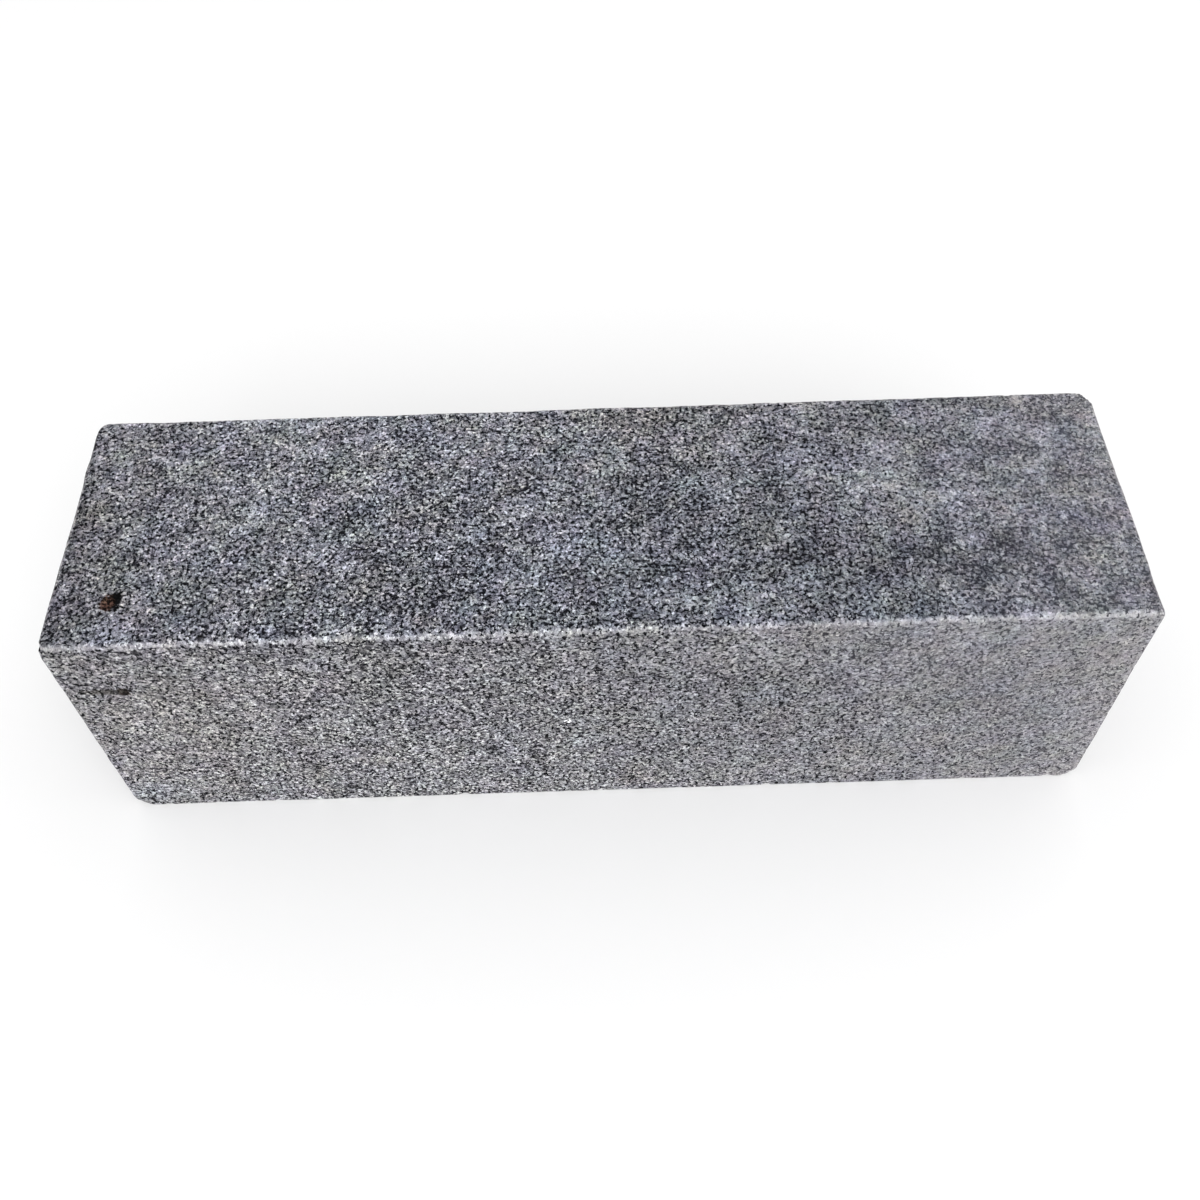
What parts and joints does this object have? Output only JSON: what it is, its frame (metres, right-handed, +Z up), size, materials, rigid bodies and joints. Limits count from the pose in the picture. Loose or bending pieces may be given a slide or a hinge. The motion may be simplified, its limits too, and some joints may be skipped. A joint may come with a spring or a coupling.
{
  "type": "sharpening whetstone",
  "caption": "Rectangular bench whetstone sawn from fine speckled grey natural stone, with worn arrises. It rests on its flat base, and blades are honed on its flat top.",
  "frame": {"origin": "middle of the underside, on the plane that the stone rests on", "axes": "+X along the length, +Y from the front long side to the back one, +Z up out of the honing face"},
  "size_m": [0.2, 0.055, 0.06],
  "materials": {
    "speckled_grey_stone": "sawn matte, fine salt-and-pepper grain of about 0.5 mm, with paler bruised arrises"
  },
  "bodies": {
    "root": {"whetstone_block": "speckled_grey_stone"}
  },
  "joints": []
}
